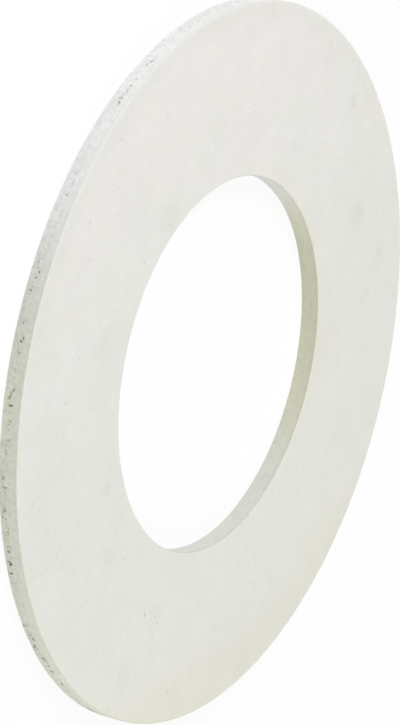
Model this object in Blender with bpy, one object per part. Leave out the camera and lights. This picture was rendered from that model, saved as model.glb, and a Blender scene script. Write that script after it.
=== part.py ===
"""Bath waste seal: one flat ring of off-white rubber, die-cut from sheet.

The ring is clamped between a bath and the flange of its waste, and the threaded
tail of the waste passes through its bore. It lies flat on its underside, with
the origin at the centre of that face and +Z along the bore. Sizes are in metres.

Run it with blender --background --factory-startup --python part.py, or from
Blender's text editor.
"""

import math

import bmesh
import bpy

# Driving sizes
OUTER_DIAMETER = 0.092
BORE_DIAMETER = 0.048  # clears the 47.8 mm thread of a 1 1/2 inch waste
THICKNESS = 0.0025
EDGE_RADIUS = 0.00015  # the knife leaves all four edges crisp, not sharp

# Smoothness of the turned and rounded surfaces
TURN_STEPS = 180
EDGE_STEPS = 3
SHARP_ANGLE = math.radians(40)

# Finish
RUBBER_COLOUR = (0.791, 0.783, 0.735, 1.0)
RUBBER_ROUGHNESS = 0.62

QUARTER_TURN = math.pi / 2
FULL_TURN = 2 * math.pi


def clear_scene():
    """Removes every object, so that the file holds the seal alone."""
    for old in list(bpy.data.objects):
        bpy.data.objects.remove(old, do_unlink=True)


def rounded_corner(corner_radius, corner_height, radially, upwards):
    """Points (radius, height) of the arc that rounds one corner of the section.

    radially and upwards are 1 or -1: the way the corner points from the middle
    of the section. The points run anticlockwise, seen with the bore at the left.
    """
    centre_radius = corner_radius - radially * EDGE_RADIUS
    centre_height = corner_height - upwards * EDGE_RADIUS
    middle = math.atan2(upwards, radially)
    points = []
    for step in range(EDGE_STEPS + 1):
        turn = middle + QUARTER_TURN * (step / EDGE_STEPS - 0.5)
        points.append(
            (
                centre_radius + EDGE_RADIUS * math.cos(turn),
                centre_height + EDGE_RADIUS * math.sin(turn),
            )
        )
    return points


def ring_section():
    """The ring's section as one closed outline of (radius, height) points."""
    bore_radius = BORE_DIAMETER / 2
    rim_radius = OUTER_DIAMETER / 2
    return (
        rounded_corner(rim_radius, 0.0, 1, -1)
        + rounded_corner(rim_radius, THICKNESS, 1, 1)
        + rounded_corner(bore_radius, THICKNESS, -1, 1)
        + rounded_corner(bore_radius, 0.0, -1, -1)
    )


def ring_mesh(name):
    """The mesh of the section turned once round the Z axis."""
    shape = bmesh.new()
    outline = [shape.verts.new((radius, 0.0, height)) for radius, height in ring_section()]
    edges = [
        shape.edges.new((start, end))
        for start, end in zip(outline, outline[1:] + outline[:1])
    ]
    bmesh.ops.spin(
        shape,
        geom=outline + edges,
        cent=(0.0, 0.0, 0.0),
        axis=(0.0, 0.0, 1.0),
        angle=FULL_TURN,
        steps=TURN_STEPS,
        use_merge=True,
    )
    bmesh.ops.recalc_face_normals(shape, faces=shape.faces)
    mesh = bpy.data.meshes.new(name)
    shape.to_mesh(mesh)
    shape.free()
    mesh.shade_smooth()
    mesh.set_sharp_from_angle(angle=SHARP_ANGLE)
    return mesh


def rubber():
    """Matt off-white rubber."""
    material = bpy.data.materials.new("seal_rubber")
    material.use_nodes = True
    shader = material.node_tree.nodes["Principled BSDF"]
    shader.inputs["Base Color"].default_value = RUBBER_COLOUR
    shader.inputs["Roughness"].default_value = RUBBER_ROUGHNESS
    shader.inputs["Metallic"].default_value = 0.0
    material.diffuse_color = RUBBER_COLOUR
    return material


def waste_seal():
    """The seal, lying on its underside at the origin."""
    mesh = ring_mesh("waste_seal")
    mesh.materials.append(rubber())
    seal = bpy.data.objects.new("waste_seal", mesh)
    bpy.context.scene.collection.objects.link(seal)
    return seal


def main():
    """Clears the scene and models the seal."""
    clear_scene()
    waste_seal()


main()
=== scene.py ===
"""A bath waste seal, dressed: one flat ring of off-white rubber, cut from sheet with a ring knife.

The ring lies on a pale studio floor. The camera is rolled with the photograph's, so the top of the
picture is the scene's -X, its right side is +Y, and the ring's upper face looks towards +Z. Bearings
are in degrees round the ring, from the picture's top and positive to its right. The ring's sizes are
in metres, and what lies on its surface is in millimetres.
"""

import logging
import math
from collections.abc import Callable, Iterable, Mapping
from dataclasses import dataclass
from enum import Enum
from typing import ClassVar

import bpy
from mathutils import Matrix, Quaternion, Vector


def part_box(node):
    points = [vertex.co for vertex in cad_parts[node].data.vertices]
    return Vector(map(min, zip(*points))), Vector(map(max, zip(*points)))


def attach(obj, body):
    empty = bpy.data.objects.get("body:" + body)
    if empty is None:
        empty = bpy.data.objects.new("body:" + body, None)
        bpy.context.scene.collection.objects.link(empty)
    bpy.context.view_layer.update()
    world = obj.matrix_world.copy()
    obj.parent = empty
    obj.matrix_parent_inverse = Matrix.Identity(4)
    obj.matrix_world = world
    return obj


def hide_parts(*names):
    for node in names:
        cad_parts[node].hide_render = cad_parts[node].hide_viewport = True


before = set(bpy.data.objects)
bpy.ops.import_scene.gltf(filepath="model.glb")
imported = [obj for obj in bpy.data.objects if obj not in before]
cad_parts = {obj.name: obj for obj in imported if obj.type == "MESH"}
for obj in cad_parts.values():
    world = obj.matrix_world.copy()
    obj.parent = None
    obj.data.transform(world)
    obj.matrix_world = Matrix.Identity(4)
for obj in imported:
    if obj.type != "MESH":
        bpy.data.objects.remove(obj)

LOG = logging.getLogger("waste_seal")
MM = 0.001
MM_PER_METRE = 1000.0

# The middle of every noise
MIDDLE = 0.5
# Lays a vector on the floor
FLAT = Vector((1.0, 1.0, 0.0))

# Red, green and blue
Colour = tuple[float, float, float]
# Where a smooth step starts and ends
Span = tuple[float, float]

WHITE: Colour = (1.0, 1.0, 1.0)


def bearing_vector(bearing: float, elevation: float = 0.0) -> Vector:
    """Direction of a bearing.

    Args:
        bearing: degrees from the picture's top, positive to its right.
        elevation: degrees above the floor.

    Returns:
        The unit vector that points there from the ring's middle.
    """
    turn = math.radians(bearing)
    rise = math.radians(elevation)
    flat = math.cos(rise)
    return Vector((-math.cos(turn) * flat, math.sin(turn) * flat, math.sin(rise)))


@dataclass(frozen=True)
class Pattern:
    """Smooth noise at scale features to the unit, packed closer or drawn out by along and up."""

    scale: float = 1.0
    detail: float = 2.0
    roughness: float = 0.5
    start: float = 0.0
    along: float = 1.0
    up: float = 1.0


def operator(operation: str, reflected: bool = False) -> Callable[..., "Wire"]:
    """Makes one of Wire's operators.

    Args:
        operation: what its Math node does.
        reflected: whether the wire stands on the operator's right.

    Returns:
        The method.
    """

    def method(wire: "Wire", *others: "Source") -> "Wire":
        """Adds the node."""
        return wire.writer.reckon(operation, *((*others, wire) if reflected else (wire, *others)))

    return method


class Wire:
    """One output of a node, as a value that operators and methods work on by adding nodes."""

    def __init__(self, writer: "NodeWriter", socket: bpy.types.NodeSocket) -> None:
        """Wraps an output socket of a node in the writer's tree."""
        self.writer = writer
        self.socket = socket

    def output(self, name: str) -> "Wire":
        """Another output of the same node."""
        return Wire(self.writer, pick_socket(self.socket.node.outputs, name))

    def __neg__(self) -> "Wire":
        """-self."""
        return self * -1.0

    __abs__ = operator("ABSOLUTE")
    __add__ = operator("ADD")
    __radd__ = operator("ADD", reflected=True)
    __sub__ = operator("SUBTRACT")
    __rsub__ = operator("SUBTRACT", reflected=True)
    __mul__ = operator("MULTIPLY")
    __rmul__ = operator("MULTIPLY", reflected=True)
    __truediv__ = operator("DIVIDE")
    __rtruediv__ = operator("DIVIDE", reflected=True)
    __pow__ = operator("POWER")
    __rpow__ = operator("POWER", reflected=True)
    __gt__ = operator("GREATER_THAN")
    __lt__ = operator("LESS_THAN")

    def length(self) -> "Wire":
        """Length of a vector."""
        return self.writer.add("ShaderNodeVectorMath", {"operation": "LENGTH"}, {"Vector": self}, "Value")

    def dot(self, other: "Source") -> "Wire":
        """Dot product with another vector."""
        vectors = {0: self, 1: other}
        return self.writer.add("ShaderNodeVectorMath", {"operation": "DOT_PRODUCT"}, vectors, "Value")

    def unit(self) -> "Wire":
        """The vector at length 1."""
        return self.writer.reckon("NORMALIZE", self)

    def parts(self) -> tuple["Wire", "Wire", "Wire"]:
        """X, Y and Z of a vector."""
        x = self.writer.add("ShaderNodeSeparateXYZ", inputs={"Vector": self}, output="X")
        return x, x.output("Y"), x.output("Z")

    def step(self, span: Span) -> "Wire":
        """A smooth step: 0 before the span, and 1 past it."""
        limits = {"Value": self, "From Min": span[0], "From Max": span[1]}
        return self.writer.add("ShaderNodeMapRange", {"interpolation_type": "SMOOTHSTEP"}, limits)

    def noise(self, pattern: Pattern) -> "Wire":
        """Adds smooth noise, read at this place.

        Args:
            pattern: what the noise is like.

        Returns:
            The noise, from 0 to 1.
        """
        place = self
        if pattern.along != pattern.up:
            place = place * Vector((pattern.along, pattern.along, pattern.up))
        if pattern.start:
            place = place + pattern.start
        looks = {"Scale": pattern.scale, "Detail": pattern.detail, "Roughness": pattern.roughness}
        return self.writer.add("ShaderNodeTexNoise", {"noise_dimensions": "3D"}, {"Vector": place, **looks})

    def blend(self, first: "Source", second: "Source", kind: str = "MIX") -> "Wire":
        """A colour from first, where self is 0, to the kind of blend with second, where self is 1."""
        inputs = {"Factor": self, "A": opaque(first), "B": opaque(second)}
        return self.writer.add("ShaderNodeMix", {"data_type": "RGBA", "blend_type": kind}, inputs, "Result")

    def tint(self, mask: "Wire", tint: "Source") -> "Wire":
        """The colour, multiplied by tint as far as the mask goes."""
        return mask.blend(self, tint, "MULTIPLY")


Source = Wire | float | int | bool | tuple | Vector


def pick_socket(sockets: Iterable, key: str | int) -> bpy.types.NodeSocket:
    """Finds a socket.

    Args:
        sockets: a node's inputs or outputs.
        key: the socket's name or its number.

    Returns:
        The socket at that number, or the one in use that has that name.
    """
    if isinstance(key, int):
        return sockets[key]
    return next(socket for socket in sockets if socket.name == key and socket.enabled)


class NodeWriter:
    """Writes nodes into one tree."""

    def __init__(self, tree: bpy.types.NodeTree) -> None:
        """Starts writing in tree."""
        self.tree = tree

    def add(
        self,
        kind: str,
        settings: Mapping[str, object] | None = None,
        inputs: Mapping[str | int, Source | list[Wire]] | None = None,
        output: str | int = 0,
    ) -> Wire:
        """Adds one node.

        Args:
            kind: the node's type.
            settings: its properties, which are set before its sockets.
            inputs: a value, a wire or a list of wires for each socket that isn't left as it is.
            output: the output to return.

        Returns:
            That output.
        """
        node = self.tree.nodes.new(kind)
        for name, value in (settings or {}).items():
            setattr(node, name, value)
        for key, value in (inputs or {}).items():
            socket = pick_socket(node.inputs, key)
            if isinstance(value, Wire):
                self.tree.links.new(value.socket, socket)
            elif isinstance(value, list):
                for wire in value:
                    self.tree.links.new(wire.socket, socket)
            else:
                socket.default_value = value
        return Wire(self, pick_socket(node.outputs, output))

    def reckon(self, operation: str, *values: Source) -> Wire:
        """Adds a Math node, or a Vector Math node where a value is a vector or a colour.

        Args:
            operation: what the node does.
            values: what it does it to.

        Returns:
            The result.
        """
        if any(self.is_vector(value) for value in values):
            return self.add("ShaderNodeVectorMath", {"operation": operation}, self.spread(values))
        return self.add("ShaderNodeMath", {"operation": operation}, dict(enumerate(values)))

    @staticmethod
    def is_vector(value: Source) -> bool:
        """Whether a value is a vector or a colour."""
        kind = value.socket.type if isinstance(value, Wire) else type(value)
        return kind in {"VECTOR", "RGBA", tuple, Vector}

    @staticmethod
    def spread(values: Iterable[Source]) -> dict[int, Source]:
        """Numbers as vectors of three equal parts, because a vector socket takes no bare number."""
        parts = ((part,) * 3 if isinstance(part, (int, float)) else part for part in values)
        return dict(enumerate(parts))

    def vector(self, x: Source = 0.0, y: Source = 0.0, z: Source = 0.0) -> Wire:
        """A vector from its three parts."""
        return self.add("ShaderNodeCombineXYZ", inputs={"X": x, "Y": y, "Z": z})


def opaque(colour: Source) -> Source:
    """A colour with its alpha, where it is three numbers."""
    return (*colour, 1.0) if isinstance(colour, tuple) and len(colour) == 3 else colour


class GeometryWriter(NodeWriter):
    """Writes a Geometry Nodes tree with named inputs, and turns what it makes into a plain mesh."""

    KINDS = {float: "NodeSocketFloat", int: "NodeSocketInt", bpy.types.Material: "NodeSocketMaterial"}

    def __init__(self, name: str) -> None:
        """Starts a tree with one Geometry output.

        Args:
            name: what the tree is called.
        """
        super().__init__(bpy.data.node_groups.new(name, "GeometryNodeTree"))
        self.tree.interface.new_socket("Geometry", in_out="OUTPUT", socket_type="NodeSocketGeometry")
        self.entry = self.tree.nodes.new("NodeGroupInput")
        self.exit = self.tree.nodes.new("NodeGroupOutput")
        self.values: dict[str, object] = {}

    def take(self, name: str, value: float | int | bpy.types.Material) -> Wire:
        """Adds a named input.

        Args:
            name: what the input is called.
            value: what the modifier sets it to.

        Returns:
            The input, for use in the tree.
        """
        item = self.tree.interface.new_socket(name, in_out="INPUT", socket_type=self.KINDS[type(value)])
        self.values[item.identifier] = value
        return Wire(self, pick_socket(self.entry.outputs, name))

    def give(self, geometry: Wire) -> None:
        """Ends the tree in this geometry."""
        self.tree.links.new(geometry.socket, self.exit.inputs["Geometry"])

    def finish(self, geometry: Wire, material: Wire) -> None:
        """Ends the tree in this geometry, made real and dressed."""
        real = self.add("GeometryNodeRealizeInstances", inputs={"Geometry": geometry})
        self.give(self.add("GeometryNodeSetMaterial", inputs={"Geometry": real, "Material": material}))

    def plain_object(self, name: str) -> bpy.types.Object:
        """Runs the tree once.

        Args:
            name: the new object's name.

        Returns:
            An object at the origin that holds the result as its own mesh, with no modifier.
        """
        holder = bpy.data.objects.new(name, bpy.data.meshes.new(name))
        bpy.context.scene.collection.objects.link(holder)
        modifier = holder.modifiers.new("shape", "NODES")
        modifier.node_group = self.tree
        for identifier, value in self.values.items():
            modifier[identifier] = value
        depsgraph = bpy.context.evaluated_depsgraph_get()
        mesh = bpy.data.meshes.new_from_object(holder.evaluated_get(depsgraph), depsgraph=depsgraph)
        holder.modifiers.remove(modifier)
        holder.data = mesh
        mesh.name = name
        return holder


@dataclass(frozen=True)
class RingSizes:
    """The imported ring's sizes, in metres."""

    rim_radius: float
    bore_radius: float
    thickness: float

    @classmethod
    def of_node(cls, node: str) -> "RingSizes":
        """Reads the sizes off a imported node, whose axis is Z.

        Args:
            node: the node's name.

        Returns:
            The sizes.
        """
        radii = [math.hypot(vertex.co.x, vertex.co.y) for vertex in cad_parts[node].data.vertices]
        low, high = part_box(node)
        return cls(rim_radius=max(radii), bore_radius=min(radii), thickness=high.z - low.z)


@dataclass(frozen=True)
class Reading:
    """Where on the ring a point of the surface lies: lengths in millimetres, and masks from 0 to 1.

    Sunk is how far a point lies in from the nearer wall, level goes from 0 at the upper face to 1 at the
    floor, and the lamp-facing mask goes from -1 where a wall faces away from the top lamps to 1 where it
    faces them; the walls' painted shade follows it.
    """

    rim: float
    bore: float
    place: Wire
    radius: Wire
    depth: Wire
    level: Wire
    face: Wire
    outer: Wire
    sunk: Wire
    pit: Wire
    freshness: Wire

    CORNER: ClassVar[Span] = (0.02, 0.06)
    PIT: ClassVar[Span] = (0.04, 0.22)

    @classmethod
    def of_surface(cls, writer: NodeWriter, sizes: RingSizes, top_lamps_bearing: float) -> "Reading":
        """Reads the surface's place.

        Args:
            writer: where the nodes go.
            sizes: the ring's sizes.
            top_lamps_bearing: the way that the top lamps lie, where the walls' painted shade is lightest.

        Returns:
            The reading.
        """
        rim = sizes.rim_radius * MM_PER_METRE
        bore = sizes.bore_radius * MM_PER_METRE
        thickness = sizes.thickness * MM_PER_METRE
        place = writer.add("ShaderNodeTexCoord", output="Object") * MM_PER_METRE
        _, _, height = place.parts()
        flat = place * FLAT
        radius = flat.length()
        depth = thickness - height
        foot_corner = (thickness - cls.CORNER[1], thickness - cls.CORNER[0])
        face = 1 - depth.step(cls.CORNER) * (1 - depth.step(foot_corner))
        outer = radius > (rim + bore) / 2
        sunk = outer * (rim - radius) + (1 - outer) * (radius - bore)
        outwards = outer * 2 - 1
        return cls(
            rim=rim,
            bore=bore,
            place=place,
            radius=radius,
            depth=depth,
            level=depth / thickness,
            face=face,
            outer=outer,
            sunk=sunk,
            pit=(1 - face) * sunk.step(cls.PIT),
            # Painted shade: how far a wall faces the top lamps; the walls darken and turn olive away from
            # them.
            freshness=flat.unit().dot(bearing_vector(top_lamps_bearing)) * outwards,
        )

    def towards(self, bearing: float, radius: float) -> Wire:
        """How far a point lies towards a bearing, with 1 at a radius from the middle."""
        return self.place.dot(bearing_vector(bearing)) / radius


@dataclass(frozen=True)
class Stain:
    """A soft patch on the upper face, in degrees and millimetres, with what it multiplies by."""

    bearing: float
    distance: float
    size: float = 0.35
    tint: Colour = (0.87, 0.87, 0.86)

    FADE: ClassVar[Span] = (0.25, 1.0)
    RAGGEDNESS: ClassVar[float] = 0.9

    def mask(self, place: Wire, ragged: Wire) -> Wire:
        """How strong the patch is.

        Args:
            place: where a point of the surface lies, in millimetres.
            ragged: noise that breaks the outline.

        Returns:
            1 in the patch's middle and 0 outside it.
        """
        middle = bearing_vector(self.bearing) * self.distance
        away = ((place - middle) * FLAT).length() / self.size
        return 1 - (away + (ragged - MIDDLE) * self.RAGGEDNESS).step(self.FADE)


@dataclass(frozen=True)
class Blotches:
    """Marks that show where all their noises are high, each by its span, with what they multiply by."""

    tint: Colour
    noises: tuple[tuple[Pattern, Span], ...]

    def mask(self, place: Wire) -> Wire:
        """1 in the middle of the marks and 0 between them."""
        masks = [place.noise(pattern).step(span) for pattern, span in self.noises]
        return math.prod(masks[1:], start=masks[0])


@dataclass(frozen=True)
class Specks:
    """Dots strewn over the faces, with what they multiply by."""

    tint: Colour = (0.87, 0.87, 0.86)
    scale: float = 0.34
    warp: Pattern = Pattern(scale=1.5)
    warp_reach: float = 0.8
    size: Span = (0.018, 0.078)
    strength: Span = (0.25, 0.95)

    def mask(self, place: Wire) -> Wire:
        """How strong the dots are.

        Args:
            place: where a point of the surface lies, in millimetres.

        Returns:
            Up to 1 in a dot's middle, by its own strength, and 0 between the dots.
        """
        warped = place + place.noise(self.warp).output("Color") * self.warp_reach
        settings = {"voronoi_dimensions": "2D", "feature": "F1"}
        cells = {"Vector": warped, "Scale": self.scale}
        away = place.writer.add("ShaderNodeTexVoronoi", settings, cells, "Distance")
        chance, _, _ = away.output("Color").parts()
        return (1 - away.step(self.size)) * chance.step(self.strength)


@dataclass(frozen=True)
class FaceFinish:
    """The two faces: warm and cool clouds, a little lighter towards the top lamps as painted light,
    blotches, stains and specks, and worn, yellower edges.
    """

    # Partly painted light: the warm colour is a little lighter and lies towards the top lamps, the cool one
    # darker and away from them.
    lit_warm: Colour = (0.813, 0.799, 0.763)
    shaded_cool: Colour = (0.785, 0.786, 0.732)
    lit_warm_bearing: float = -24.0
    warm_side: Span = (0.05, 0.85)
    clouds: Pattern = Pattern(scale=0.09, detail=3.0)
    veil: Pattern = Pattern(scale=0.22, detail=5.0, roughness=0.7, start=17)
    veil_warmth: float = 0.9
    veil_blue: float = 0.08
    haze: Pattern = Pattern(scale=0.13, detail=6.0, roughness=0.8, start=71)
    haze_light: float = 0.16
    blotches: tuple[Blotches, ...] = (
        Blotches((0.982, 0.982, 0.980), ((Pattern(scale=0.8), (0.56, 0.72)),)),
        Blotches((0.962, 0.962, 0.960), (
            (Pattern(scale=0.16, start=5), (0.50, 0.66)),
            (Pattern(scale=1.2, detail=3.0, roughness=0.7, start=29), (0.45, 0.70)),
        )),
        Blotches((1.012, 1.012, 1.012), ((Pattern(scale=1.6, start=40), (0.58, 0.75)),)),
    )
    ochre: Colour = (0.970, 0.961, 0.902)
    ochre_bearing: float = 152.0
    ochre_side: Span = (0.60, 0.88)
    ochre_band: Span = (0.77, 0.96)
    ochre_drift: float = 0.25
    worn_edge: Colour = (1.012, 1.0, 0.955)
    rim_worn_facing: Span = (0.3, 0.8)
    rim_worn_width: Span = (0.05, 0.9)
    bore_worn_bearing: float = 65.0
    bore_worn_side: Span = (0.2, 0.9)
    bore_worn_width: Span = (0.05, 2.6)
    # A faint darker band just inside the rim, on the side towards the top lamps.
    rim_band: Colour = (0.974, 0.974, 0.966)
    rim_band_facing: Span = (0.1, 0.6)
    rim_band_starts: Span = (0.2, 0.7)
    rim_band_ends: Span = (0.9, 3.6)
    ragged: Pattern = Pattern(scale=1.1, detail=3.0)
    stains: tuple[Stain, ...] = (
        Stain(-5, distance=45.2, size=3.5, tint=(1.0, 0.985, 0.985)),
        Stain(18, distance=42.4, size=3.4, tint=(0.968, 0.968, 0.958)),
        Stain(7, distance=45.0, size=0.8, tint=(0.93, 0.97, 0.90)),
        Stain(32.5, distance=41.1, size=1.8, tint=(0.95, 0.95, 0.945)),
        Stain(38.4, distance=43.9, size=2.4, tint=(0.985, 0.970, 0.970)),
        Stain(55.8, distance=35.4, size=2.6, tint=(0.935, 0.937, 0.925)),
        Stain(68, distance=40.3, size=2.8, tint=(0.975, 0.968, 0.970)),
        Stain(68, distance=40.3, size=0.6, tint=(0.925, 0.910, 0.915)),
        Stain(59, distance=44.2, size=2.4, tint=(0.992, 0.980, 0.955)),
        Stain(48, distance=25.0, size=2.2, tint=(1.0, 0.980, 0.955)),
        Stain(84, distance=25.2, size=4.0, tint=(1.0, 0.978, 0.955)),
        Stain(-47.5, distance=26.4, size=3.2, tint=(0.955, 0.958, 0.945)),
        Stain(-85.6, distance=29.7, size=2.8, tint=(0.970, 0.968, 0.975)),
        Stain(-123.4, distance=27.6, size=1.6, tint=(0.955, 0.955, 0.950)),
        Stain(-140, distance=30.9, size=1.8, tint=(0.970, 0.970, 0.970)),
        Stain(-164.2, distance=41.0, size=2.2, tint=(0.970, 0.970, 0.970)),
        Stain(-170, distance=32.7, size=2.4, tint=(0.970, 0.970, 0.970)),
        Stain(-102.4, distance=46.0, size=0.7, tint=(1.0, 0.967, 0.87)),
        Stain(-104.0, distance=46.0, size=0.7, tint=(1.0, 0.967, 0.86)),
        Stain(-165, distance=32.7, tint=(0.74, 0.74, 0.73)),
        Stain(-169.9, distance=32.4),
        Stain(-171.2, distance=33.2),
        Stain(179.2, distance=41.9),
        Stain(-51.3, distance=43.1),
        Stain(-97.2, distance=36.3, size=0.45),
        Stain(-18.2, distance=41.1),
        Stain(-65.6, distance=41.2),
        Stain(-112.8, distance=42.9),
        Stain(-146.8, distance=28.9),
        Stain(-108.1, distance=28.6, size=0.25, tint=(0.80, 0.79, 0.76)),
    )
    specks: Specks = Specks()

    def ground(self, reading: Reading, clouds: Wire) -> Wire:
        """The ground colour: warm and a little lighter towards the top lamps as painted light, cool and
        darker towards the other side, and clouded.

        Args:
            reading: where the surface lies.
            clouds: the noise that moves the border between warm and cool.

        Returns:
            The colour.
        """
        veil = reading.place.noise(self.veil) - MIDDLE
        haze = reading.place.noise(self.haze) - MIDDLE
        # Painted light, in part: warmer and lighter towards the top lamps.
        side = reading.towards(self.lit_warm_bearing, reading.rim) + (clouds - MIDDLE)
        warmth = side.step(self.warm_side) + veil * self.veil_warmth
        light = 1 + haze * self.haze_light
        blue = light + veil * self.veil_blue
        return warmth.blend(self.shaded_cool, self.lit_warm) * light.writer.vector(light, light, blue)

    def edges(self, reading: Reading, clouds: Wire, colour: Wire) -> Wire:
        """Adds what handling and age did along the edges.

        Args:
            reading: where the surface lies.
            clouds: the noise that moves the ochre band's border.
            colour: the colour so far.

        Returns:
            The colour with an ochre band, worn edges and a faint darker band inside the rim, on the side
            towards the top lamps.
        """
        side = reading.towards(self.ochre_bearing, reading.rim).step(self.ochre_side)
        band = (reading.radius / reading.rim + (clouds - MIDDLE) * self.ochre_drift).step(self.ochre_band)
        colour = colour.tint(side * band, self.ochre)
        rim_worn = reading.outer * (1 - reading.freshness.step(self.rim_worn_facing))
        rim_worn = rim_worn * (1 - reading.sunk.step(self.rim_worn_width))
        bore_side = reading.towards(self.bore_worn_bearing, reading.bore).step(self.bore_worn_side)
        bore_worn = (1 - reading.outer) * bore_side * (1 - reading.sunk.step(self.bore_worn_width))
        colour = colour.tint(rim_worn + bore_worn, self.worn_edge)
        rim_band = reading.sunk.step(self.rim_band_starts) * (1 - reading.sunk.step(self.rim_band_ends))
        return colour.tint(rim_band * reading.outer * reading.freshness.step(self.rim_band_facing), self.rim_band)

    def colour(self, reading: Reading) -> Wire:
        """The faces' colour before grain.

        Args:
            reading: where the surface lies.

        Returns:
            The colour.
        """
        place = reading.place
        clouds = place.noise(self.clouds)
        colour = self.ground(reading, clouds)
        for blotches in self.blotches:
            colour = colour.tint(blotches.mask(place), blotches.tint)
        colour = self.edges(reading, clouds, colour)
        ragged = place.noise(self.ragged)
        for stain in self.stains:
            colour = colour.tint(stain.mask(place, ragged), stain.tint)
        return colour.tint(self.specks.mask(place), self.specks.tint)


@dataclass(frozen=True)
class Patch:
    """A lighter or darker length of a wall, in degrees, from a level down the wall between 0 and 1."""

    bearing: float
    spread: float
    tint: Colour
    level: float = 0.0

    CORE: ClassVar[float] = 0.25
    LEVEL_FADE: ClassVar[Span] = (-0.15, 0.1)

    def mask(self, reading: Reading) -> Wire:
        """How strong the patch is.

        Args:
            reading: where the surface lies.

        Returns:
            1 in the patch's middle and 0 outside it.
        """
        towards = (reading.place * FLAT).unit().dot(bearing_vector(self.bearing))
        reach = (math.cos(math.radians(self.spread)), math.cos(math.radians(self.spread * self.CORE)))
        start, end = self.LEVEL_FADE
        return towards.step(reach) * reading.level.step((self.level + start, self.level + end))


@dataclass(frozen=True)
class WallFinish:
    """Colours of one cut wall, with painted shade: darker and more olive where it faces away from the top
    lamps, lighter or darker lengths, and a darker line under its edge.
    """

    fresh: Colour
    shaded_side: Colour
    age: Span
    edge_shade: float
    patches: tuple[Patch, ...]

    EDGE_STARTS: ClassVar[Span] = (-0.06, 0.1)
    EDGE_ENDS: ClassVar[Span] = (0.2, 0.6)

    def colour(self, reading: Reading) -> Wire:
        """The wall's colour before grain and the pits' dirt and painted shade, with its own painted shade
        away from the top lamps and under the edge.

        Args:
            reading: where the surface lies.

        Returns:
            The colour.
        """
        # Painted shade: darker and more olive where the wall faces away from the top lamps.
        colour = reading.freshness.step(self.age).blend(self.shaded_side, self.fresh)
        for patch in self.patches:
            colour = colour.tint(patch.mask(reading), patch.tint)
        # Painted shade: a darker line just under the wall's upper edge.
        under_edge = reading.depth.step(self.EDGE_STARTS) * (1 - reading.depth.step(self.EDGE_ENDS))
        return colour.tint(under_edge, (self.edge_shade,) * 3)


@dataclass(frozen=True)
class Grain:
    """A fine mottle on the faces, and coarser grain with the knife's drag and chatter on the walls."""

    fine: Pattern = Pattern(scale=1.6, detail=4.0, roughness=0.7)
    coarse: Pattern = Pattern(scale=1.7, detail=4.0, roughness=0.65)
    coarse_share: float = 0.6
    drag: Pattern = Pattern(detail=3.0, along=0.5, up=4.0)
    chatter: Pattern = Pattern(detail=3.0, along=3.0, up=0.5)
    knife_share: float = 0.3
    face_contrast: float = 0.11
    wall_contrast: float = 0.29
    rim_contrast: float = 0.22
    lower_contrast: float = 0.35
    lamp_side_calm: float = 0.14
    lower: Span = (0.25, 0.6)
    fresh: Span = (0.4, 0.8)

    def height(self, reading: Reading) -> Wire:
        """The grain's height.

        Args:
            reading: where the surface lies.

        Returns:
            The height from about 0 to 1, with the noises' own middle.
        """
        coarse = reading.place.noise(self.coarse) * self.coarse_share
        drag = reading.place.noise(self.drag) * self.knife_share
        chatter = reading.place.noise(self.chatter) * self.knife_share
        surplus = MIDDLE * (self.coarse_share + 2 * self.knife_share - 1)
        wall = coarse + drag + chatter - surplus
        return reading.face * reading.place.noise(self.fine) + (1 - reading.face) * wall

    def shade(self, reading: Reading, height: Wire) -> Wire:
        """How light the grain makes the surface.

        Args:
            reading: where the surface lies.
            height: the grain's height.

        Returns:
            The shade, with a middle of 1.
        """
        lower = reading.level.step(self.lower) * self.lower_contrast
        fresh = reading.freshness.step(self.fresh) * self.lamp_side_calm
        rim = reading.outer * (self.rim_contrast + lower - fresh)
        wall = (1 - reading.face) * (self.wall_contrast + rim)
        return 1 + (height - MIDDLE) * (self.face_contrast + wall)


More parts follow.
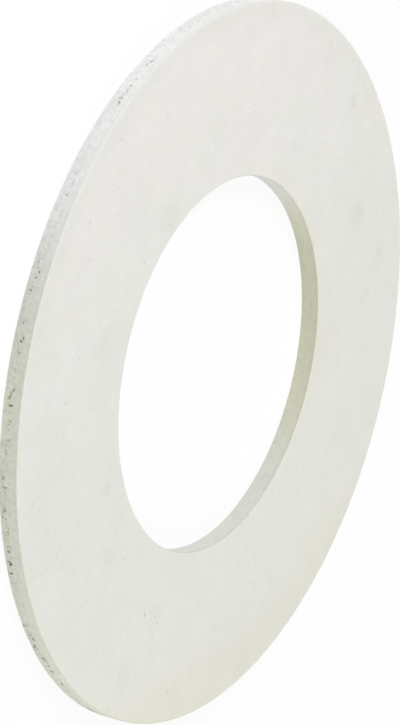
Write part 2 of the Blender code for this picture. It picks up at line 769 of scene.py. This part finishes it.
@dataclass(frozen=True)
class SealRubber:
    """Off-white rubber: smooth, faintly clouded faces, and cut walls that are greyer and rougher, with
    painted shade on the walls and in the pits.
    """

    name: str = "seal_rubber"
    # Bearing of the top lamps: the walls' painted shade is lightest and least olive where they face it.
    top_lamps_bearing: float = -25.0
    face: FaceFinish = FaceFinish()
    rim: WallFinish = WallFinish(
        fresh=(0.729, 0.729, 0.722),
        shaded_side=(0.710, 0.716, 0.624),
        age=(0.38, 0.80),
        edge_shade=0.968,
        patches=(
            # Painted shade: the wide patches darken lengths of the rim near its top, its left side and its
            # foot.
            Patch(-174, spread=30, tint=(0.93, 0.93, 0.91), level=0.35),
            Patch(-178, spread=17, tint=(0.93, 0.93, 0.94), level=-0.1),
            Patch(-162.6, spread=2.2, tint=(0.86, 0.86, 0.76), level=0.6),
            Patch(-14, spread=22, tint=(0.965, 0.965, 0.965), level=-0.1),
            Patch(-82, spread=15, tint=(0.955, 0.955, 0.955)),
            Patch(-80, spread=12, tint=(0.97, 0.97, 0.965), level=0.4),
        ),
    )
    # Painted shade: the bore's colours are darker and more olive than the rim's, for the shade inside the
    # hole; its two patches paint light back onto its length near bearing 10.
    bore: WallFinish = WallFinish(
        fresh=(0.620, 0.622, 0.572),
        shaded_side=(0.613, 0.613, 0.480),
        age=(0.50, 0.98),
        edge_shade=0.94,
        patches=(
            Patch(12, spread=42, tint=(1.11, 1.12, 1.15)),
            Patch(10, spread=27, tint=(1.045, 1.045, 1.19)),
        ),
    )
    grain: Grain = Grain()
    lower_tint: Colour = (0.972, 0.970, 0.955)
    lower_edge: Span = (0.32, 0.5)
    lower_raggedness: float = 0.6
    lower_fades: Span = (0.6, 0.9)
    lower_fading: float = 0.6
    # Dirt and painted shade in the pits: dark olive away from the top lamps, lighter grey towards them.
    pit_dirt_and_shade: Colour = (0.48, 0.46, 0.33)
    lamp_side_pit_dirt_and_shade: Colour = (0.70, 0.70, 0.69)
    pit_dirt_and_shade_facing: Span = (0.5, 0.85)
    roughness: float = 0.6
    roughness_contrast: float = 0.3
    relief: float = 0.02 * MM
    face_relief: float = 0.35

    def walls(self, reading: Reading, height: Wire) -> Wire:
        """The walls' colour before grain.

        Args:
            reading: where the surface lies.
            height: the grain's height.

        Returns:
            The colour, darker on the rim's torn lower part, with dirt and painted shade in the pits,
            darkest away from the top lamps.
        """
        wall = reading.outer.blend(self.bore.colour(reading), self.rim.colour(reading))
        lower = (reading.level + (height - MIDDLE) * self.lower_raggedness).step(self.lower_edge)
        fading = reading.freshness.step(self.lower_fades) * self.lower_fading
        wall = wall.tint(lower * reading.outer * (1 - fading), self.lower_tint)
        # Dirt and painted shade darken the pits, most where the wall faces away from the top lamps.
        pit_dirt_and_shade = reading.freshness.step(self.pit_dirt_and_shade_facing).blend(self.pit_dirt_and_shade, self.lamp_side_pit_dirt_and_shade)
        return wall.tint(reading.pit, pit_dirt_and_shade)

    def material(self, sizes: RingSizes) -> bpy.types.Material:
        """The rubber, fitted to a ring.

        Args:
            sizes: the ring that it covers.

        Returns:
            The material.
        """
        rubber = bpy.data.materials.new(self.name)
        rubber.use_nodes = True
        writer = NodeWriter(rubber.node_tree)
        reading = Reading.of_surface(writer, sizes, self.top_lamps_bearing)
        height = self.grain.height(reading)
        shade = self.grain.shade(reading, height)
        colour = reading.face.blend(self.walls(reading, height), self.face.colour(reading))
        relief = height * (self.face_relief + (1 - reading.face) * (1 - self.face_relief))
        results = {
            "Base Color": colour * writer.vector(shade, shade, shade),
            "Roughness": self.roughness + (height - MIDDLE) * self.roughness_contrast,
            "Normal": writer.add("ShaderNodeBump", None, {"Distance": self.relief, "Height": relief}),
        }
        shader = rubber.node_tree.nodes["Principled BSDF"]
        for name, wire in results.items():
            rubber.node_tree.links.new(wire.socket, shader.inputs[name])
        return rubber


class Tear(Enum):
    """A kind of tear in the rim's wall, with its length and its depth for a height of 1."""

    PIT = (1.4, 0.75)
    SLIT = (5.0, 0.9)

    def __init__(self, length: float, depth: float) -> None:
        """Names the two ratios."""
        self.length = length
        self.depth = depth


@dataclass(frozen=True)
class Torn:
    """A stretch of the rim's wall that the knife tore.

    Bearing, spread and lean are in degrees, height is in millimetres, and level goes from 0 at the upper
    face to 1 at the floor.
    """

    bearing: float = 0.0
    spread: float = 1.0
    count: int = 3
    height: float = 0.3
    level: float = 0.5
    kind: Tear = Tear.PIT
    lean: float = 0.0

    def inputs(self, seed: int) -> dict[str, float | int]:
        """What the node group takes for this stretch.

        Args:
            seed: what its random draws start from.

        Returns:
            A value for each named input, in the group's order and in metres.
        """
        return {
            "Bearing": self.bearing,
            "Spread": self.spread,
            "Count": self.count,
            "Height": self.height * MM,
            "Level": self.level,
            "Length Ratio": self.kind.length,
            "Depth Ratio": self.kind.depth,
            "Lean": math.radians(self.lean),
            "Seed": seed,
        }


class TearGroup(GeometryWriter):
    """A node group that makes the cutters for one torn stretch."""

    ACROSS: Span = (-0.5, 0.5)
    LEVELS: Span = (-1.0, 1.0)
    LEVEL_SCATTER = 0.09
    SINKING: Span = (-0.1, 0.2)
    SLANTS: Span = (-0.5, 0.5)
    STEADIED_BY_LEAN = 5.0
    SIZES: Span = (0.6, 1.25)
    LENGTHS: Span = (0.6, 1.4)
    BALL = {"Radius": 0.5, "Subdivisions": 2}
    LUMPS = Pattern(scale=5.0, detail=1.0)
    LUMP_REACH = 0.22 * MM
    DRAWS_PER_SEED = 16

    def __init__(self, rim: float, thickness: float) -> None:
        """Writes the group's nodes.

        Args:
            rim: radius of the wall.
            thickness: height of the wall.
        """
        super().__init__("torn_stretch")
        inputs = [self.take(name, value) for name, value in Torn().inputs(seed=0).items()]
        bearing, spread, count, height, level, length, depth, lean, seed = inputs
        turn = (bearing + spread * self.chance(self.ACROSS, seed, 1)) * (math.pi / 180)
        drop = level + self.LEVEL_SCATTER * self.chance(self.LEVELS, seed, 2)
        sunk = rim - height * self.chance(self.SINKING, seed, 3)
        outwards = self.vector(-self.reckon("COSINE", turn), self.reckon("SINE", turn))
        place = outwards * self.vector(sunk, sunk, sunk) + self.vector(z=thickness * (1 - drop))
        steadied = self.reckon("MINIMUM", abs(lean) * self.STEADIED_BY_LEAN, 1.0)
        slant = lean + self.chance(self.SLANTS, seed, 4) * (1 - steadied)
        size = height * self.chance(self.SIZES, seed, 5)
        stretched = size * length * self.chance(self.LENGTHS, seed, 6)
        balls = {
            "Points": self.add("GeometryNodePoints", None, {"Count": count, "Position": place}),
            "Instance": self.add("GeometryNodeMeshIcoSphere", None, self.BALL),
            "Rotation": self.vector(0.0, slant, math.pi / 2 - turn),
            "Scale": self.vector(stretched, size * depth * 2, size),
        }
        laid = self.add("GeometryNodeInstanceOnPoints", None, balls)
        lumps = self.add("GeometryNodeRealizeInstances", None, {"Geometry": laid})
        where = self.add("GeometryNodeInputPosition") * MM_PER_METRE
        push = (where.noise(self.LUMPS).output("Color") - MIDDLE) * self.LUMP_REACH
        self.give(self.add("GeometryNodeSetPosition", None, {"Geometry": lumps, "Offset": push}))

    def chance(self, span: Span, seed: Wire, draw: int) -> Wire:
        """A random number in the span for each point. Draws with other numbers are independent."""
        limits = {"Min": span[0], "Max": span[1], "Seed": seed * self.DRAWS_PER_SEED + draw}
        return self.add("FunctionNodeRandomValue", {"data_type": "FLOAT"}, limits, "Value")


@dataclass(frozen=True)
class WasteSeal:
    """The seal: a rounded section swept round the bore, with uneven cut walls and torn pits in the rim.

    The near tears follow the side of the rim that the camera sees, the far ones the other side. The stray
    ones are small and scattered, and the fine ones fill the near side's gaps.
    """

    node: str = "waste_seal"
    slot: str = "seal_rubber"
    edge_radius: float = 0.15 * MM
    edge_steps: int = 3
    turn_steps: int = 1200
    wall_pitch: float = 0.18 * MM
    face_pitch: float = 2.2 * MM
    face_margin: float = 0.001
    edge_crowding: float = 3.0
    crease_angle: float = math.radians(38)
    smooth_depth: float = 0.012 * MM
    rough_depth: float = 0.075 * MM
    skin: float = 0.0015 * MM
    grain: Pattern = Pattern(scale=1.5 * MM_PER_METRE, detail=3.0)
    drag: Pattern = Pattern(detail=3.0, along=0.3, up=2.2)
    face_tilt: Span = (0.1, 0.6)
    rough_starts: Span = (0.3, 0.5)
    rough_ends: Span = (0.85, 0.98)
    near_tears: tuple[Torn, ...] = (
        Torn(-166.5, spread=2.0, count=3, height=0.12, level=0.70, kind=Tear.SLIT, lean=-4),
        Torn(-155.0, spread=3.0, count=5, height=0.18, level=0.60),
        Torn(-149.4, spread=1.2, count=3, height=0.25, level=0.57),
        Torn(-145.9, spread=1.2, count=3, height=0.25, level=0.57),
        Torn(-143.0, spread=2.0, count=6, height=0.30, level=0.62),
        Torn(-138.0, spread=3.6, count=8, height=0.26, level=0.72),
        Torn(-134.3, spread=1.0, count=3, height=0.21, level=0.80),
        Torn(-123.2, spread=0.6, count=3, height=0.28, level=0.78),
        Torn(-121.7, spread=1.0, count=5, height=0.31, level=0.76),
        Torn(-120.0, spread=1.4, count=5, height=0.25, level=0.73),
        Torn(-113.3, spread=1.8, count=5, height=0.20, level=0.73),
        Torn(-108.8, spread=0.3, count=3, height=0.29, level=0.68),
        Torn(-107.0, spread=1.2, count=5, height=0.20, level=0.71),
        Torn(-101.6, spread=0.6, count=2, height=0.18, level=0.59),
        Torn(-98.4, spread=0.5, count=2, height=0.18, level=0.57),
        Torn(-96.4, spread=0.4, count=3, height=0.26, level=0.58),
        Torn(-93.8, spread=0.3, count=1, height=0.18, level=0.57, kind=Tear.SLIT, lean=-9),
        Torn(-94.8, spread=0.8, count=3, height=0.18, level=0.63, kind=Tear.SLIT, lean=-13),
        Torn(-94.4, spread=2.0, count=5, height=0.12, level=0.60),
        Torn(-88.7, spread=0.8, count=3, height=0.16, level=0.55),
        Torn(-86.6, spread=1.0, count=5, height=0.23, level=0.53),
        Torn(-84.1, spread=0.8, count=3, height=0.16, level=0.59),
        Torn(-79.4, spread=1.4, count=5, height=0.18, level=0.70),
        Torn(-77.0, spread=1.2, count=3, height=0.20, level=0.56),
        Torn(-65.0, spread=1.6, count=5, height=0.17, level=0.52),
        Torn(-61.5, spread=2.0, count=3, height=0.18, level=0.50),
        Torn(-45.0, spread=6.0, count=16, height=0.23, level=0.50),
        Torn(-38.0, spread=4.0, count=8, height=0.20, level=0.48),
        Torn(-29.0, spread=8.0, count=8, height=0.18, level=0.50),
    )
    far_tears: tuple[Torn, ...] = (
        Torn(20.0, spread=12.0, count=14, height=0.21, level=0.55),
        Torn(58.0, spread=6.0, count=11, height=0.25, level=0.62),
        Torn(97.0, spread=9.0, count=14, height=0.23, level=0.66),
        Torn(131.0, spread=5.0, count=10, height=0.25, level=0.60),
        Torn(166.0, spread=10.0, count=13, height=0.21, level=0.64),
    )
    stray_tears: tuple[Torn, ...] = (
        Torn(0.0, spread=360.0, count=124, height=0.15, level=0.64),
        Torn(-143.0, spread=28.0, count=28, height=0.14, level=0.68),
        Torn(-110.0, spread=20.0, count=30, height=0.12, level=0.70),
        Torn(-88.0, spread=24.0, count=30, height=0.12, level=0.58),
        Torn(-62.0, spread=8.0, count=14, height=0.13, level=0.52),
        Torn(-42.0, spread=12.0, count=22, height=0.13, level=0.49),
    )
    fine_tears: tuple[Torn, ...] = (
        Torn(-142.6, spread=1.4, count=4, height=0.19, level=0.66),
        Torn(-134.2, spread=0.4, count=3, height=0.20, level=0.84),
        Torn(-118.6, spread=1.0, count=4, height=0.20, level=0.70),
        Torn(-116.0, spread=1.0, count=4, height=0.19, level=0.57),
        Torn(-113.2, spread=1.6, count=5, height=0.20, level=0.77),
        Torn(-95.2, spread=0.4, count=3, height=0.15, level=0.655, kind=Tear.SLIT, lean=-14),
        Torn(-94.2, spread=0.4, count=3, height=0.15, level=0.59, kind=Tear.SLIT, lean=-14),
    )

    @property
    def sizes(self) -> RingSizes:
        """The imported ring's sizes."""
        return RingSizes.of_node(self.node)

    def section(self, tree: GeometryWriter, width: Wire, height: Wire, edge: Wire) -> Wire:
        """The section's outline about its own middle.

        The rows are even up the walls, and crowd towards the edges on the faces.

        Args:
            tree: where the nodes go.
            width: from the bore to the rim.
            height: the thickness.
            edge: the radius of the four edges.

        Returns:
            A closed curve, with X across the ring and Y along its axis.
        """
        box = tree.add("GeometryNodeCurvePrimitiveQuadrilateral", None, {"Width": width, "Height": height})
        steps = tree.take("Edge Steps", self.edge_steps)
        corners = {"Curve": box, "Count": steps, "Radius": edge}
        rounded = tree.add("GeometryNodeFilletCurve", {"mode": "POLY"}, corners)
        place = tree.add("GeometryNodeInputPosition")
        after = tree.add("GeometryNodeOffsetPointInCurve", None, {"Offset": 1}, "Point Index")
        settings = {"data_type": "FLOAT_VECTOR", "domain": "POINT"}
        stride = tree.add("GeometryNodeFieldAtIndex", settings, {"Value": place, "Index": after}) - place
        across, along, _ = stride.parts()
        upright = abs(along) > abs(across)
        wall_pitch = tree.take("Wall Pitch", self.wall_pitch)
        face_pitch = tree.take("Face Pitch", self.face_pitch)
        pitch = upright * wall_pitch + (1 - upright) * face_pitch
        cuts = tree.reckon("FLOOR", stride.length() / pitch)
        divided = tree.add("GeometryNodeSubdivideCurve", None, {"Curve": rounded, "Cuts": cuts})
        x, y, _ = place.parts()
        half = width / 2 - edge
        inset = 1 - abs(x) / half
        crowded = 1 - tree.reckon("MAXIMUM", inset, 0.0) ** self.edge_crowding
        target = tree.vector(tree.reckon("SIGN", x) * half * crowded, y)
        moved = {"Geometry": divided, "Selection": inset > self.face_margin, "Position": target}
        return tree.add("GeometryNodeSetPosition", None, moved)

    def uneven(self, tree: GeometryWriter, ring: Wire, thickness: Wire) -> Wire:
        """Sinks the surface: a skin's depth on the faces, more on the walls, most on their lower part.

        Args:
            tree: where the nodes go.
            ring: the swept ring.
            thickness: height of its walls.

        Returns:
            The ring, nowhere proud of what it was.
        """
        place = tree.add("GeometryNodeInputPosition")
        normal = tree.add("GeometryNodeInputNormal")
        _, _, height = place.parts()
        _, _, rise = normal.parts()
        wall = 1 - abs(rise).step(self.face_tilt)
        level = 1 - height / thickness
        lower = level.step(self.rough_starts) * (1 - level.step(self.rough_ends))
        smooth = tree.take("Smooth Depth", self.smooth_depth) * (place * MM_PER_METRE).noise(self.drag)
        rough = lower * tree.take("Rough Depth", self.rough_depth) * place.noise(self.grain)
        sink = tree.take("Skin", self.skin) + wall * (smooth + rough)
        sunk = normal * tree.vector(-sink, -sink, -sink)
        return tree.add("GeometryNodeSetPosition", None, {"Geometry": ring, "Offset": sunk})

    def shape(self, tree: GeometryWriter, rubber: bpy.types.Material) -> None:
        """Writes the whole tree.

        Args:
            tree: where the nodes go.
            rubber: the ring's material.
        """
        rim = tree.take("Rim Radius", self.sizes.rim_radius)
        bore = tree.take("Bore Radius", self.sizes.bore_radius)
        thickness = tree.take("Thickness", self.sizes.thickness)
        edge = tree.take("Edge Radius", self.edge_radius)
        section = self.section(tree, rim - bore, thickness, edge)
        circle = {"Resolution": tree.take("Turn Steps", self.turn_steps), "Radius": (rim + bore) / 2}
        turn = tree.add("GeometryNodeCurvePrimitiveCircle", {"mode": "RADIUS"}, circle)
        lift = tree.vector(z=thickness / 2)
        path = tree.add("GeometryNodeSetPosition", None, {"Geometry": turn, "Offset": lift})
        ring = tree.add("GeometryNodeCurveToMesh", None, {"Curve": path, "Profile Curve": section})
        uneven = self.uneven(tree, ring, thickness)
        group = {"node_tree": TearGroup(self.sizes.rim_radius, self.sizes.thickness).tree}
        stretches = (*self.near_tears, *self.far_tears, *self.stray_tears, *self.fine_tears)
        cutters = [
            tree.add("GeometryNodeGroup", group, torn.inputs(seed)) for seed, torn in enumerate(stretches)
        ]
        joined = tree.add("GeometryNodeJoinGeometry", None, {"Geometry": cutters})
        settings = {"operation": "DIFFERENCE", "solver": "EXACT"}
        meshes = {"Mesh 1": uneven, "Mesh 2": joined, "Self Intersection": True}
        tree.finish(tree.add("GeometryNodeMeshBoolean", settings, meshes), tree.take("Rubber", rubber))

    def build(self) -> bpy.types.Object:
        """Makes the dressed ring and seats it in the frame.

        Returns:
            The ring.
        """
        tree = GeometryWriter("seal_ring")
        self.shape(tree, SealRubber().material(self.sizes))
        ring = tree.plain_object("seal_ring")
        ring.data.shade_smooth()
        ring.data.set_sharp_from_angle(angle=self.crease_angle)
        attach(ring, "root")
        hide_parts(self.node)
        return ring


@dataclass(frozen=True)
class SoftBox:
    """A square studio lamp that looks at the ring."""

    name: str
    bearing: float
    elevation: float
    watts: float
    distance: float = 0.7
    side: float = 0.35

    def place(self) -> bpy.types.Object:
        """Puts the lamp up.

        Returns:
            The lamp.
        """
        light = bpy.data.lights.new(self.name, "AREA")
        light.energy = self.watts
        light.size = self.side
        lamp = bpy.data.objects.new(self.name, light)
        bpy.context.scene.collection.objects.link(lamp)
        towards = bearing_vector(self.bearing, self.elevation)
        lamp.location = towards * self.distance
        lamp.rotation_mode = "QUATERNION"
        lamp.rotation_quaternion = towards.to_track_quat("Z", "Y")
        return lamp


@dataclass(frozen=True)
class Studio:
    """A pale floor, soft lamps and an even sky."""

    floor_side: float = 4.0
    floor_drop: float = 0.02 * MM
    floor_colour: Colour = (0.98, 0.98, 0.98)
    floor_roughness: float = 0.9
    floor_glow: float = 0.88
    sky: float = 0.35
    lamps: tuple[SoftBox, ...] = (
        SoftBox("top_left_softbox", bearing=-30, elevation=35, watts=1.29),
        SoftBox("top_softbox", bearing=-10, elevation=35, watts=2.00),
        SoftBox("foot_left_softbox", bearing=-150, elevation=38, watts=0.62),
        SoftBox("foot_softbox", bearing=180, elevation=38, watts=1.53),
    )

    @staticmethod
    def seen(writer: NodeWriter) -> Wire:
        """Tells sight from light.

        Args:
            writer: where the nodes go.

        Returns:
            1 for what the camera sees, straight, reflected or through something, and 0 for other light.
        """
        path = writer.add("ShaderNodeLightPath", output="Is Camera Ray")
        seen = writer.reckon("MAXIMUM", path, path.output("Is Glossy Ray"))
        return writer.reckon("MAXIMUM", seen, path.output("Is Transmission Ray"))

    def floor_finish(self) -> bpy.types.Material:
        """Matt white board that keeps a soft shadow.

        Returns:
            The board's material.
        """
        board = bpy.data.materials.new("floor_board")
        board.use_nodes = True
        writer = NodeWriter(board.node_tree)
        matt = board.node_tree.nodes["Principled BSDF"]
        matt.inputs["Base Color"].default_value = opaque(self.floor_colour)
        matt.inputs["Roughness"].default_value = self.floor_roughness
        matt.inputs["Specular IOR Level"].default_value = 0.0
        glow = writer.add("ShaderNodeEmission", None, {"Color": opaque(WHITE), "Strength": 1.0})
        shaders = {0: self.seen(writer) * self.floor_glow, 1: Wire(writer, matt.outputs["BSDF"]), 2: glow}
        mixed = writer.add("ShaderNodeMixShader", None, shaders)
        board.node_tree.links.new(mixed.socket, board.node_tree.nodes["Material Output"].inputs["Surface"])
        return board

    def floor(self) -> bpy.types.Object:
        """Lays the floor, just under the ring.

        Returns:
            The floor.
        """
        half = self.floor_side / 2
        corners = [(-half, -half), (half, -half), (half, half), (-half, half)]
        mesh = bpy.data.meshes.new("studio_floor")
        mesh.from_pydata([(x, y, -self.floor_drop) for x, y in corners], [], [(0, 1, 2, 3)])
        mesh.materials.append(self.floor_finish())
        floor = bpy.data.objects.new("studio_floor", mesh)
        bpy.context.scene.collection.objects.link(floor)
        return floor

    def backdrop(self) -> None:
        """An even sky that lights softly and looks white."""
        world = bpy.data.worlds.new("studio_sky")
        world.use_nodes = True
        writer = NodeWriter(world.node_tree)
        background = world.node_tree.nodes["Background"]
        background.inputs["Color"].default_value = opaque(WHITE)
        strength = self.sky + self.seen(writer) * (1.0 - self.sky)
        world.node_tree.links.new(strength.socket, background.inputs["Strength"])
        bpy.context.scene.world = world

    def build(self) -> list[bpy.types.Object]:
        """Lays the floor and lights it.

        Returns:
            The floor and the lamps.
        """
        self.backdrop()
        bpy.context.scene.view_settings.view_transform = "Standard"
        return [self.floor(), *(lamp.place() for lamp in self.lamps)]


@dataclass(frozen=True)
class PhotoCamera:
    """The photograph's camera, from a fit of the ring's edges in the picture."""

    azimuth: float = -6.43
    elevation: float = 28.86
    roll: float = 103.14
    distance: float = 501.6 * MM
    aim_x: float = -0.35 * MM
    aim_y: float = -5.76 * MM
    lens: float = 201.46
    film: float = 36.0

    def place(self, aim_height: float) -> bpy.types.Object:
        """Sets the camera up.

        Args:
            aim_height: height of the upper face, which the camera is aimed at.

        Returns:
            The camera.
        """
        turn = math.radians(self.azimuth)
        rise = math.radians(self.elevation)
        back = Vector((math.sin(turn) * math.cos(rise), -math.cos(turn) * math.cos(rise), math.sin(rise)))
        data = bpy.data.cameras.new("photo_camera")
        data.lens = self.lens
        data.sensor_width = self.film
        camera = bpy.data.objects.new("photo_camera", data)
        bpy.context.scene.collection.objects.link(camera)
        camera.location = Vector((self.aim_x, self.aim_y, aim_height)) + back * self.distance
        camera.rotation_mode = "QUATERNION"
        level = (-back).to_track_quat("-Z", "Y")
        camera.rotation_quaternion = level @ Quaternion((0.0, 0.0, 1.0), math.radians(self.roll))
        bpy.context.scene.camera = camera
        return camera


def main() -> None:
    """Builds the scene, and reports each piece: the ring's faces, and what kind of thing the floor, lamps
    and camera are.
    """
    logging.basicConfig(level=logging.INFO, format="%(name)s: %(message)s")
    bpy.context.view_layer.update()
    seal = WasteSeal()
    ring = seal.build()
    LOG.info("%s: %d faces", ring.name, len(ring.data.polygons))
    for item in (*Studio().build(), PhotoCamera().place(seal.sizes.thickness)):
        LOG.info("%s: %s", item.name, item.type.lower())


if __name__ == "__main__":
    main()
